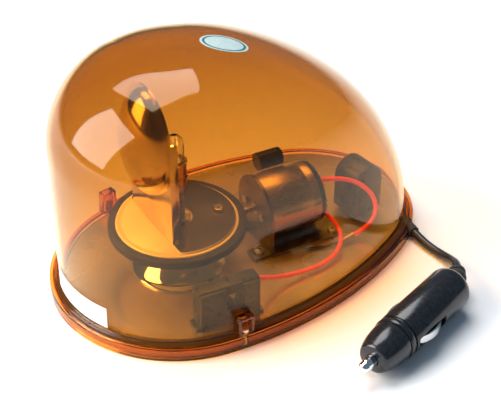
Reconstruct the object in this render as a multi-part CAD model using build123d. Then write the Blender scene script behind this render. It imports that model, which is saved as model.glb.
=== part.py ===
from build123d import *
import math
import os

# Amber rotating beacon on a magnetic foot, with a short cord and a 12 V plug.
# Millimetres. +Z is up, +X runs to the narrow end, where the cord leaves.
# The origin is the centre of the footprint, on the ground.

# ---- base outline: two end circles joined by tangent flank arcs ----
FRONT_R = 63.5            # wide end
TAIL_R = 54.5             # narrow end
CENTRE_GAP = 82.0         # between the two end centres
FLANK_R = 188.0
AXIS_X = -(FRONT_R + CENTRE_GAP + TAIL_R) / 2 + FRONT_R     # wide end's centre, the rotor axis

# ---- lens ----
LENS_TOP = 128.0
LENS_WALL = 2.6
WALL_INSET = 4.8          # from the skirt's outside to the wall's outside
FLANGE_TOP = 7.6
FLANGE_T = 1.8
SKIRT_T = 2.0
SKIRT_BOTTOM = 0.6
FRONT_CURVE = (81.5, 2.04)     # height where each profile starts to lean in, and its power
TAIL_CURVE = (5.9, 1.86)
SIDE_CURVE = (9.5, 3.2)
LEVELS = (0, 0.04, 0.08, 0.13, 0.20, 0.28, 0.36, 0.44, 0.52, 0.60,
          0.68, 0.75, 0.81, 0.86, 0.90, 0.935, 0.96, 0.98, 0.992, 0.999)
LUG_ANGLES = (-94.3, 94.3)     # screw lugs, about the rotor axis
LUG_W = 9.0
LUG_TOP = 18.0
LUG_POCKET = 5.0
SCREW_INSET = 2.6              # lens screws, in from the skirt's outside

# ---- base and gasket ----
BASE_BOTTOM = 1.5
LEDGE_TOP = 5.0
DECK_TOP = 8.0
DECK_T = 2.4
RIM_T = 3.0
BASE_CLEAR = 0.4

# ---- magnet foot ----
PAD_R = 44.0
PAD_T = 1.2
PAD_WALL = 1.7
MAGNET_T = 3.4
MAGNET_HOLE_R = 8.0
YOKE_T = 1.0
BOLT_R = 2.5

# ---- pedestal and spindle ----
CUP_FOOT_R = 22.5
CUP_NECK_R = 11.5
CUP_TOP = 26.4
CUP_WALL = 1.2
SPINDLE_R = 4.0
SPINDLE_BORE_R = 2.6
SPINDLE_TOP = 58.0
WASHER_T = 0.8

# ---- rotor ----
DISC_R = 29.8
DISC_TOP = 35.5
DISC_T = 1.8
RIM_LIP = 1.8
HUB_R = 9.0
BUSH_R = 6.0
RUN_CLEAR = 0.05
TYRE_T = 3.7
TYRE_H = 4.3
TYRE_BOTTOM = 30.7

# ---- reflector, in a frame whose +X is the light beam ----
BEAM_ANGLE = -5.3
SHEET = 0.9
PLATE_BACK = 11.6         # plate's front face, behind the lamp axis
PLATE_HALF = 20.2
PLATE_SHIFT = 2.5
PLATE_TOP = 111.0
BOWL_HALF_W = 18.4
BOWL_HALF_H = 27.5
BOWL_DEPTH = 12.5
BOWL_Z = 82.0
EDGE_FLANGE = 4.0
FOOT_R = 28.0
FOOT_HOLE_R = 7.6
FOOT_SCREWS = ((19.8, -5.5), (-2.0, 21.5))

# ---- lamp ----
HOLDER_R = 5.6
HOLDER_TOP = 69.0
LAMP_CAP_R = 4.6
LAMP_CAP_H = 9.0
GLASS_R = 4.7
GLASS_H = 13.0
GLASS_T = 0.6

# ---- motor, in a frame whose +X is its shaft, pointing away from the rotor ----
MOTOR_ANGLE = -8.5
MOTOR_Z = 27.0
MOTOR_R = 16.25
MOTOR_LENGTH = 27.5
CAN_T = 1.0
CAP_LENGTH = 4.0
SHAFT_R = 1.5
ROLLER_GAP = 0.05
ROLLER_LENGTH = 4.6
BRACKET_X = 42.5          # bracket plate's inner face, from the rotor axis
BRACKET_T = 1.5
BRACKET_HALF = 18.0
BRACKET_FOOT_END = 83.0
SCREW_R = 1.45
SCREW_HEAD_R = 2.7
CAPACITOR_R = 4.5
CAPACITOR_L = 13.0
CAPACITOR_ANGLE = 48.0

# ---- terminal block ----
BLOCK_X, BLOCK_Y, BLOCK_ANGLE = -41.2, -46.4, -10.5
BLOCK_L, BLOCK_W, BLOCK_H = 30.0, 10.2, 20.5
BLOCK_WINDOW_L, BLOCK_WINDOW_H = 9.0, 10.0

# ---- cord entry cover ----
COVER_X, COVER_Y = 62.5, -17.5
COVER_L, COVER_W, COVER_H = 18.0, 16.0, 30.0
COVER_WALL = 1.5

# ---- wires, cord and plug ----
WIRE_R = 1.15
THIN_WIRE_R = 0.7
CORD_R = 2.2
GROMMET_R = 3.0
GROMMET_L = 16.0
CORD_ROUTE = [(77.3, -46.8, 3.5), (76.2, -56.5, 2.5), (76.7, -66.5, 2.4),
              (75.8, -76.2, 4.6), (71.8, -83.9, 8.6), (66.8, -88.8, 9.6)]
PLUG_REAR = (58.0, -95.7)
PLUG_ANGLE = 194.5
PLUG_R = 10.9
PLUG_BODY_L = 52.0
PLUG_WALL = 2.3
NOSE_L = 16.5
NOSE_END_R = 7.8
TIP_R = 2.9
TIP_OUT = 8.7
TIP_TRAVEL = 3.0
FUSE_R = 3.2
FUSE_L = 30.0
CONTACT_W = 4.0
CONTACT_T = 0.8
CONTACT_OUT = 1.4
CONTACT_HALF_L = 10.0
CONTACT_X = 35.0

deck_inset = WALL_INSET + LENS_WALL + BASE_CLEAR
flange_under = FLANGE_TOP - FLANGE_T
rotor_axis = Pos(AXIS_X, 0, 0)
beam = rotor_axis * Rot(0, 0, BEAM_ANGLE)
motor = Pos(AXIS_X, 0, MOTOR_Z) * Rot(0, 0, MOTOR_ANGLE)
motor_floor = Pos(AXIS_X, 0, 0) * Rot(0, 0, MOTOR_ANGLE)
plug = Pos(PLUG_REAR[0], PLUG_REAR[1], PLUG_R) * Rot(0, 0, PLUG_ANGLE)


def save(name, shape):
    """Write one named piece, or a group of equal pieces, to its own STEP file."""
    if isinstance(shape, (list, tuple)):
        shape = Compound(children=[solid for piece in shape for solid in piece.solids()])
    shape.label = name
    export_step(shape, f"parts/{name}.step")
    print(f"{name:24s} {len(shape.solids())} solid(s) {shape.volume:10.1f} mm3")


def tube(outer_r, inner_r, bottom, top):
    """Round ring or, with no inner radius, a round bar, standing on the local Z axis."""
    ring = Pos(0, 0, (bottom + top) / 2) * Cylinder(outer_r, top - bottom)
    if inner_r:
        ring -= Pos(0, 0, (bottom + top) / 2) * Cylinder(inner_r, top - bottom + 1)
    return ring


def bar(outer_r, inner_r, start, end):
    """The same ring or bar, lying along the local X axis."""
    return Rot(0, 90, 0) * tube(outer_r, inner_r, start, end)


def block(x0, x1, y0, y1, z0, z1):
    """Box between two corners."""
    size = Box(x1 - x0, y1 - y0, z1 - z0)
    return Pos((x0 + x1) / 2, (y0 + y1) / 2, (z0 + z1) / 2) * size


def circles_of(shape, radius):
    """Circular edges of one radius."""
    circles = shape.edges().filter_by(GeomType.CIRCLE)
    return circles.filter_by(lambda edge: abs(edge.radius - radius) < 0.01)


def lathe(points):
    """Solid of revolution about Z from (radius, height) points."""
    outline = make_face(Polyline(*[(r, 0, z) for r, z in points], close=True))
    return revolve(outline, Axis.Z)


def flank_centre():
    """Centre of the flank arc, from the wide end's centre, for the side with positive Y."""
    x = ((FLANK_R - FRONT_R) ** 2 - (FLANK_R - TAIL_R) ** 2 + CENTRE_GAP ** 2) / (2 * CENTRE_GAP)
    return x, -math.sqrt((FLANK_R - FRONT_R) ** 2 - x ** 2)


def outline_point(angle, inset):
    """Point of the inset outline whose outward normal has this angle in degrees, from the axis."""
    x, y = flank_centre()
    front_limit = math.degrees(math.atan2(-y, -x))
    tail_limit = math.degrees(math.atan2(-y, CENTRE_GAP - x))
    turn = (angle + 180) % 360 - 180
    if abs(turn) >= front_limit:
        centre, radius = (0.0, 0.0), FRONT_R
    elif abs(turn) <= tail_limit:
        centre, radius = (CENTRE_GAP, 0.0), TAIL_R
    else:
        centre, radius = (x, y if turn > 0 else -y), FLANK_R
    a = math.radians(angle)
    return (centre[0] + (radius - inset) * math.cos(a), centre[1] + (radius - inset) * math.sin(a))


def egg_prism(inset, bottom, top):
    """Upright prism of the base outline moved inwards by inset, made of six true arcs."""
    x, y = flank_centre()
    front_limit = math.degrees(math.atan2(-y, -x))
    tail_limit = math.degrees(math.atan2(-y, CENTRE_GAP - x))
    stops = [-front_limit, -(front_limit + tail_limit) / 2, -tail_limit, 0, tail_limit,
             (front_limit + tail_limit) / 2, front_limit, 180]
    points = [outline_point(angle, inset) for angle in stops]
    points.append(points[0])
    arcs = [ThreePointArc(*points[i:i + 3]) for i in (0, 2, 4, 6)]
    return rotor_axis * Pos(0, 0, bottom) * extrude(make_face(arcs), top - bottom)


def lean(z, curve, top):
    """Share of the outline's reach that is left at height z, by a superellipse."""
    start, power = curve
    if z <= start:
        return 1.0
    return (1 - ((z - start) / (top - start)) ** power) ** (1 / power)


def lens_section(z, inset, top):
    """Closed face of the lens wall at height z."""
    front = -(FRONT_R - inset) * lean(z, FRONT_CURVE, top)
    tail = (CENTRE_GAP + TAIL_R - inset) * lean(z, TAIL_CURVE, top)
    half = lean(z, SIDE_CURVE, top)
    full_front, full_tail = -(FRONT_R - inset), CENTRE_GAP + TAIL_R - inset
    points = []
    for step in range(32):
        x, y = outline_point(step * 360 / 32, inset)
        share = (x - full_front) / (full_tail - full_front)
        points.append((AXIS_X + front + share * (tail - front), y * half, z))
    return make_face(Spline(*points, periodic=True))


def lens_body(inset, bottom, top):
    """Solid bounded by the lens surface at this inset."""
    heights = [bottom + (top - bottom) * share for share in LEVELS]
    return loft([lens_section(z, inset, top) for z in heights])


def lug_frame(angle):
    """Frame at a lens lug: +X points outwards, origin where the lens screw stands."""
    return rotor_axis * Rot(0, 0, angle) * Pos(FRONT_R - SCREW_INSET, 0, 0)


def make_lens(outer):
    """Dome, flange and skirt in one moulding, with two screw lugs and the cord notch."""
    lens = outer + egg_prism(0, SKIRT_BOTTOM, FLANGE_TOP)
    for angle in LUG_ANGLES:
        lug = block(-WALL_INSET, SCREW_INSET - 0.3, -LUG_W / 2, LUG_W / 2, flange_under, LUG_TOP)
        lens += lug_frame(angle) * lug
    lens -= egg_prism(SKIRT_T, 0, flange_under)
    lens -= lens_body(WALL_INSET + LENS_WALL, 0, LENS_TOP - LENS_WALL)
    for angle in LUG_ANGLES:
        pocket = block(-SCREW_INSET, SCREW_INSET, -LUG_POCKET / 2, LUG_POCKET / 2,
                       FLANGE_TOP + 1.4, LUG_TOP - 3)
        lens -= lug_frame(angle) * (pocket + tube(SCREW_R + 0.1, 0, 0, LUG_TOP - 3))
    return lens - grommet_bar(GROMMET_R)


def make_lens_screws():
    """One screw in each lug, down into the base ledge."""
    head = FLANGE_TOP + 1.4
    screw = tube(2.2, 0, head, head + 1.6) + tube(SCREW_R, 0, BASE_BOTTOM + 0.5, head)
    return [lug_frame(angle) * screw for angle in LUG_ANGLES]


def grommet_bar(radius, length=GROMMET_L):
    """Round bar through the rim, along the line on which the cord leaves."""
    start, after = Vector(*CORD_ROUTE[0]), Vector(*CORD_ROUTE[1])
    inward = (start - after).normalized()
    return Plane(origin=start, z_dir=inward) * tube(radius, 0, 0, length)


def make_base():
    """Shallow tray: a raised deck inside the lens, and a ledge under its flange."""
    base = egg_prism(SKIRT_T + BASE_CLEAR, BASE_BOTTOM, LEDGE_TOP)
    base += egg_prism(deck_inset, LEDGE_TOP, DECK_TOP)
    base -= egg_prism(deck_inset + RIM_T, 0, DECK_TOP - DECK_T)
    for angle in LUG_ANGLES:
        base -= lug_frame(angle) * tube(SCREW_R, 0, 0, LEDGE_TOP + 1)
    base -= rotor_axis * tube(BOLT_R, 0, 0, DECK_TOP + 1)
    for x, y in bracket_screw_places():
        base -= motor_floor * Pos(x, y, 0) * tube(SCREW_R, 0, 0, DECK_TOP + 1)
    return base - grommet_bar(GROMMET_R)


def make_gasket():
    """Rubber ring between the ledge and the lens flange."""
    ring = egg_prism(SKIRT_T + 0.7, LEDGE_TOP, flange_under)
    ring -= egg_prism(deck_inset - 0.3, LEDGE_TOP - 1, flange_under + 1)
    for angle in LUG_ANGLES:
        ring -= lug_frame(angle) * tube(SCREW_R, 0, 0, LUG_TOP)
    return ring - grommet_bar(GROMMET_R)


def make_magnet_foot():
    """Rubber pad, ring magnet, steel yoke and the bolt that holds them to the spindle."""
    under_deck = DECK_TOP - DECK_T
    magnet_r = PAD_R - PAD_WALL - 0.3
    pad = tube(PAD_R, MAGNET_HOLE_R, 0, PAD_T) + tube(PAD_R, PAD_R - PAD_WALL, 0, under_deck - 0.3)
    magnet = tube(magnet_r, MAGNET_HOLE_R, PAD_T, PAD_T + MAGNET_T)
    yoke = tube(magnet_r, BOLT_R, PAD_T + MAGNET_T, PAD_T + MAGNET_T + YOKE_T)
    head = PAD_T + MAGNET_T - 2.2
    bolt = tube(4.5, 0, head, head + 2.2) + tube(BOLT_R - 0.1, 0, head, DECK_TOP + 7)
    save("magnet_pad", rotor_axis * pad)
    save("magnet", rotor_axis * magnet)
    save("magnet_yoke", rotor_axis * yoke)
    save("magnet_bolt", rotor_axis * bolt)


def make_pedestal():
    """Spun metal cup under the rotor."""
    outer = [(CUP_FOOT_R, DECK_TOP), (CUP_FOOT_R, DECK_TOP + CUP_WALL), (20.5, 10.0), (17.5, 13.5),
             (14.0, 18.0), (CUP_NECK_R, 23.0), (CUP_NECK_R, CUP_TOP), (SPINDLE_R, CUP_TOP)]
    inner = [(SPINDLE_R, CUP_TOP - 2), (CUP_NECK_R - CUP_WALL, CUP_TOP - 2),
             (CUP_NECK_R - CUP_WALL, 22.6), (14.0 - CUP_WALL, 17.4), (17.5 - CUP_WALL, 12.7),
             (20.5 - CUP_WALL, DECK_TOP)]
    return lathe(outer + inner)


def make_spindle():
    """Fixed hollow post that carries the rotor and the lamp."""
    post = tube(SPINDLE_R, SPINDLE_BORE_R, DECK_TOP + 8, SPINDLE_TOP)
    return post + tube(8.0, BOLT_R - 0.1, DECK_TOP, DECK_TOP + 2) + tube(
        SPINDLE_R, BOLT_R - 0.1, DECK_TOP, DECK_TOP + 8)


def make_rotor():
    """Turning disc with its rim, bush and rubber tyre."""
    bottom = CUP_TOP + WASHER_T + RUN_CLEAR
    web = DISC_TOP - DISC_T
    disc = lathe([(BUSH_R, bottom), (HUB_R, bottom), (HUB_R, web), (DISC_R - RIM_LIP, web),
                  (DISC_R - RIM_LIP, TYRE_BOTTOM), (DISC_R, TYRE_BOTTOM), (DISC_R, DISC_TOP),
                  (BUSH_R, DISC_TOP)])
    for x, y in FOOT_SCREWS:
        disc -= Rot(0, 0, BEAM_ANGLE) * Pos(x, y, 0) * tube(SCREW_R, 0, 0, DISC_TOP + 1)
    save("rotor_disc", rotor_axis * disc)
    save("rotor_bush", rotor_axis * tube(BUSH_R, SPINDLE_R + RUN_CLEAR, bottom, DISC_TOP))
    tyre = tube(DISC_R + TYRE_T, DISC_R, TYRE_BOTTOM, TYRE_BOTTOM + TYRE_H)
    tyre = fillet(circles_of(tyre, DISC_R + TYRE_T), 0.8)
    save("drive_tyre", rotor_axis * tyre)


def make_reflector():
    """Sheet-metal reflector: half-round foot, arch-topped plate and a pressed oval bowl."""
    low = PLATE_SHIFT - PLATE_HALF
    high = PLATE_SHIFT + PLATE_HALF
    arch_z = PLATE_TOP - PLATE_HALF
    foot = tube(FOOT_R, FOOT_HOLE_R, DISC_TOP, DISC_TOP + SHEET)
    foot -= block(-FOOT_R - 1, -PLATE_BACK - SHEET, -FOOT_R - 1, FOOT_R + 1, DISC_TOP - 1,
                  DISC_TOP + SHEET + 1)
    plate = block(-PLATE_BACK - SHEET, -PLATE_BACK, low, high, DISC_TOP, arch_z)
    plate += Pos(0, PLATE_SHIFT, arch_z) * bar(PLATE_HALF, 0, -PLATE_BACK - SHEET, -PLATE_BACK)
    edges = block(-PLATE_BACK, -PLATE_BACK + EDGE_FLANGE, low, low + SHEET, DISC_TOP + 5, arch_z)
    edges += block(-PLATE_BACK, -PLATE_BACK + EDGE_FLANGE, high - SHEET, high, DISC_TOP + 5, arch_z)
    middle = Pos(-PLATE_BACK, PLATE_SHIFT, BOWL_Z)
    skin = middle * scale(Sphere(1), by=(BOWL_DEPTH + SHEET, BOWL_HALF_W + SHEET, BOWL_HALF_H + SHEET))
    hollow = middle * scale(Sphere(1), by=(BOWL_DEPTH, BOWL_HALF_W, BOWL_HALF_H))
    skin -= block(-PLATE_BACK - SHEET / 2, 50, -50, 50, 0, 150)
    body = foot + plate + edges + skin - hollow
    for x, y in FOOT_SCREWS:
        body -= Pos(x, y, 0) * tube(SCREW_R, 0, 0, DISC_TOP + 2)
    return beam * body


def screw_at(place, seat, length):
    """Round-headed screw standing on a seat height, with a cross recess in its head."""
    head = tube(SCREW_HEAD_R, 0, seat, seat + 1.7)
    head = fillet(head.edges().group_by(Axis.Z)[-1], 0.9)
    for turn in (0, 90):
        head -= Pos(0, 0, seat + 1.5) * Rot(0, 0, turn) * Box(2.8, 0.6, 1.2)
    return place * (head + tube(SCREW_R, 0, seat - length, seat))


def make_lamp():
    """Bayonet holder on the spindle, with the small halogen lamp in it."""
    floor = SPINDLE_TOP
    holder = lathe([(SPINDLE_R, floor - 5), (HOLDER_R, floor - 5), (HOLDER_R, HOLDER_TOP),
                    (LAMP_CAP_R + 0.15, HOLDER_TOP), (LAMP_CAP_R + 0.15, floor + 1.5),
                    (1.6, floor + 1.5), (1.6, floor), (SPINDLE_R, floor)])
    pins = Pos(0, 0, floor + 7) * Rot(90, 0, 0) * Cylinder(0.9, 2 * HOLDER_R - 0.2)
    slots = block(-1.1, 1.1, -HOLDER_R - 1, HOLDER_R + 1, floor + 5.5, HOLDER_TOP + 1)
    save("lamp_holder", rotor_axis * (holder - slots))
    contact = tube(LAMP_CAP_R - 0.3, 0, floor + 1.5, floor + 2.4) + tube(1.4, 0, floor, floor + 3)
    save("lamp_contact", rotor_axis * contact)
    low = floor + 3
    cap = tube(LAMP_CAP_R, 0, low + 1.2, low + LAMP_CAP_H) + tube(2.0, 0, low, low + 1.2) + pins
    save("bulb_cap", rotor_axis * cap)
    base = low + LAMP_CAP_H
    glass = tube(GLASS_R, 0, base, base + GLASS_H - GLASS_R)
    glass += Pos(0, 0, base + GLASS_H - GLASS_R) * Sphere(GLASS_R)
    hollow = tube(GLASS_R - GLASS_T, 0, base + 1, base + GLASS_H - GLASS_R)
    hollow += Pos(0, 0, base + GLASS_H - GLASS_R) * Sphere(GLASS_R - GLASS_T)
    save("bulb_glass", rotor_axis * (glass - hollow))
    legs = Pos(0, 1.6, 0) * tube(0.25, 0, base + 1, base + 6)
    legs += Pos(0, -1.6, 0) * tube(0.25, 0, base + 1, base + 6)
    coil = Pos(0, 0, base + 6) * Rot(90, 0, 0) * Cylinder(0.5, 4.2)
    save("bulb_filament", rotor_axis * (legs + coil))


def bracket_screw_places():
    """Floor screws of the motor bracket, in the motor's frame."""
    return [(BRACKET_X - 4.5, 12.5), (BRACKET_X - 4.5, -12.5),
            (BRACKET_FOOT_END - 4.0, 14.5), (BRACKET_FOOT_END - 4.0, -14.5)]


def make_bracket():
    """Bent bracket: upright plate in front of the motor, foot under it, two forward tabs."""
    back = BRACKET_X + BRACKET_T
    plate = block(BRACKET_X, back, -BRACKET_HALF + 1, BRACKET_HALF - 1, DECK_TOP, MOTOR_Z)
    plate += Pos(0, 0, MOTOR_Z) * bar(BRACKET_HALF - 1, 0, BRACKET_X, back)
    foot = block(BRACKET_X, BRACKET_FOOT_END, -BRACKET_HALF, BRACKET_HALF, DECK_TOP,
                 DECK_TOP + BRACKET_T)
    tabs = [block(BRACKET_X - 9, BRACKET_X, side * 12.5 - 4.5, side * 12.5 + 4.5, DECK_TOP,
                  DECK_TOP + BRACKET_T) for side in (-1, 1)]
    body = plate + foot + tabs[0] + tabs[1]
    body -= Pos(0, 0, MOTOR_Z) * bar(3.2, 0, BRACKET_X - 1, back + 1)
    for side in (-1, 1):
        body -= Pos(0, side * 8.7, MOTOR_Z) * bar(1.3, 0, BRACKET_X - 1, back + 1)
    for x, y in bracket_screw_places():
        body -= Pos(x, y, 0) * tube(SCREW_R, 0, 0, DECK_TOP + 4)
    return motor_floor * body


def make_motor():
    """Direct-current motor: can, magnets, turning armature, end cap and friction roller."""
    front = BRACKET_X + BRACKET_T
    rear = front + MOTOR_LENGTH
    hole = SHAFT_R + RUN_CLEAR
    can = bar(MOTOR_R, MOTOR_R - CAN_T, front, rear) + bar(MOTOR_R - CAN_T, hole, front, front + 1.5)
    can += bar(3.0, hole, BRACKET_X - 0.5, front)
    for side in (-1, 1):
        can -= Pos(0, side * 8.7, 0) * bar(1.2, 0, BRACKET_X, front + 2)
    can = fillet(circles_of(can, MOTOR_R).sort_by(Axis.X)[0], 0.9)
    save("motor_can", motor * can)
    cap = bar(MOTOR_R - 0.3, 0, rear, rear + CAP_LENGTH)
    cap += bar(MOTOR_R - CAN_T - 0.1, MOTOR_R - CAN_T - 2, rear - 3, rear)
    cap += bar(4.5, 0, rear + CAP_LENGTH, rear + CAP_LENGTH + 1.5)
    cap -= bar(hole, 0, rear - 4, rear + CAP_LENGTH)
    save("motor_end_cap", motor * cap)
    ring = bar(MOTOR_R - CAN_T, MOTOR_R - CAN_T - 2.6, front + 4, rear - 4)
    gap = block(front, rear, -MOTOR_R, MOTOR_R, -5, 5)
    save("motor_magnets", [motor * piece for piece in (ring - gap).solids()])
    armature = bar(11.6, SHAFT_R, front + 5, rear - 8)
    for slot in range(5):
        groove = block(front, rear, -0.8, 0.8, 6.5, 13)
        armature -= Rot(slot * 72, 0, 0) * groove
    save("motor_armature", motor * armature)
    save("motor_commutator", motor * bar(3.6, SHAFT_R, rear - 7.5, rear - 4))
    shaft_start = DISC_R + TYRE_T / 2 - ROLLER_LENGTH / 2 - 0.4
    save("motor_shaft", motor * bar(SHAFT_R, 0, shaft_start, rear + CAP_LENGTH - 0.5))
    roller_r = TYRE_BOTTOM - MOTOR_Z - ROLLER_GAP
    middle = DISC_R + TYRE_T / 2
    save("drive_roller", motor * bar(roller_r, SHAFT_R, middle - ROLLER_LENGTH / 2,
                                     middle + ROLLER_LENGTH / 2))
    screw = bar(2.1, 0, BRACKET_X - 1.5, BRACKET_X) + bar(1.15, 0, BRACKET_X, front + 1.5)
    save("motor_screws", [motor * Pos(0, side * 8.7, 0) * screw for side in (-1, 1)])


def make_capacitor():
    """Suppression capacitor on a strap that is wrapped round the motor can."""
    middle = BRACKET_X + BRACKET_T + MOTOR_LENGTH * 0.5
    strap = bar(MOTOR_R + 0.6, MOTOR_R, middle - 4, middle + 4)
    strap &= Rot(-CAPACITOR_ANGLE, 0, 0) * block(0, 100, 8, 20, -14, 14)
    save("capacitor_strap", motor * strap)
    place = Rot(CAPACITOR_ANGLE, 0, 0) * Pos(0, MOTOR_R + 0.6 + CAPACITOR_R, 0)
    body = bar(CAPACITOR_R, 0, middle - CAPACITOR_L / 2, middle + CAPACITOR_L / 2)
    save("capacitor", motor * place * body)


def make_terminal_block():
    """Black block on the deck: two pillars and a bridge, with a brass clamp in each pillar."""
    place = Pos(BLOCK_X, BLOCK_Y, DECK_TOP) * Rot(0, 0, BLOCK_ANGLE)
    half = BLOCK_L / 2
    body = block(-half, half, -BLOCK_W / 2, BLOCK_W / 2, 0, BLOCK_H)
    body = chamfer(body.edges().filter_by(Axis.Z), 0.7)
    window = block(-2.5, BLOCK_WINDOW_L - 2.5, -BLOCK_W, BLOCK_W, 6, 6 + BLOCK_WINDOW_H)
    body -= window
    body += Pos(2, 0, 6) * Rot(90, 0, 0) * Cylinder(2.6, BLOCK_W)
    for side in (-1, 1):
        body -= Pos(side * (half - 4), 0, 0) * tube(2.3, 0, BLOCK_H - 6, BLOCK_H + 1)
    body -= Pos(0, 3, 16.0) * bar(WIRE_R + 0.3, 0, half - 6, half + 1)
    save("terminal_block", place * body)
    screw = tube(2.1, 0, BLOCK_H - 5.5, BLOCK_H - 1.5) - Pos(0, 0, BLOCK_H - 1.5) * Box(5, 0.7, 1.6)
    save("terminal_screws", [place * Pos(side * (half - 4), 0, 0) * screw for side in (-1, 1)])


def make_cord_cover():
    """Arch-topped cover over the joint between the cord and the inner wires."""
    def shell(inset):
        side = COVER_L / 2 - inset
        depth = COVER_W / 2 - inset
        spring = COVER_H - COVER_L / 2
        arch = Pos(0, 0, spring) * Rot(90, 0, 0) * Cylinder(side, 2 * depth)
        return block(-side, side, -depth, depth, 0, spring) + arch
    cover = shell(0) - (shell(COVER_WALL) - block(-50, 50, -50, 50, -1, 0))
    cover -= Pos(-COVER_L / 2, -2, 4) * Rot(0, 90, 0) * Cylinder(2.2, 6)
    return Pos(COVER_X, COVER_Y, DECK_TOP) * cover


def swept(points, radius, radii_share=0.45):
    """Round wire along a route of straight runs joined by tangent arcs, with its arc radii."""
    route = [Vector(*p) for p in points]
    radii = []
    for a, b, c in zip(route, route[1:], route[2:]):
        turn = math.radians((b - a).get_angle(c - b))
        radii.append(radii_share * min((b - a).length, (c - b).length) / math.tan(turn / 2))
    path = FilletPolyline(*route, radius=radii)
    section = Plane(origin=route[0], z_dir=route[1] - route[0]) * Circle(radius)
    wire = sweep(section, path=path)
    share = wire.volume / (math.pi * radius ** 2 * path.length)
    print("route", round(path.length, 1), "mm, smallest radius", round(min(radii), 1),
          "mm, volume share", round(share, 4))
    return wire


def make_wires():
    """Two red motor leads, the thin black lead and the crimp that joins them."""
    lead_a = [(37.7, -18.1, 37.0), (45.5, -22.5, 37.6), (53.8, -28.8, 34.5), (57.8, -35.6, 28.0),
              (56.0, -39.4, 20.5), (50.5, -38.6, 14.0), (44.0, -37.0, 11.6)]
    lead_b = [(37.9, -21.4, 19.0), (39.2, -28.5, 17.0), (36.0, -37.5, 13.6), (27.0, -43.6, 11.2),
              (15.5, -45.2, 10.6), (3.0, -43.6, 11.0), (-8.0, -42.6, 13.2), (-17.3, -44.2, 18.4),
              (-25.8, -46.2, 24.0)]
    save("red_lead_long", swept(lead_a, WIRE_R))
    save("red_lead_short", swept(lead_b, WIRE_R))
    joint = Vector(*lead_a[-1])
    back = (joint - Vector(*lead_a[-2])).normalized()
    ferrule = Plane(origin=joint, z_dir=back) * tube(1.6, 0, 0, 6.5)
    save("crimp_ferrule", ferrule)
    tail = joint + back * 6.8
    route = [tuple(tail), (31.0, -34.4, 9.2), (25.0, -31.9, 9.0), (19.5, -29.0, 8.9)]
    save("black_lead", swept(route, THIN_WIRE_R))


def make_cord_set():
    """Rubber grommet in the rim, and the free stretch of the supply cord."""
    save("cord_grommet", grommet_bar(GROMMET_R))
    save("cord", swept(CORD_ROUTE, CORD_R))


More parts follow.
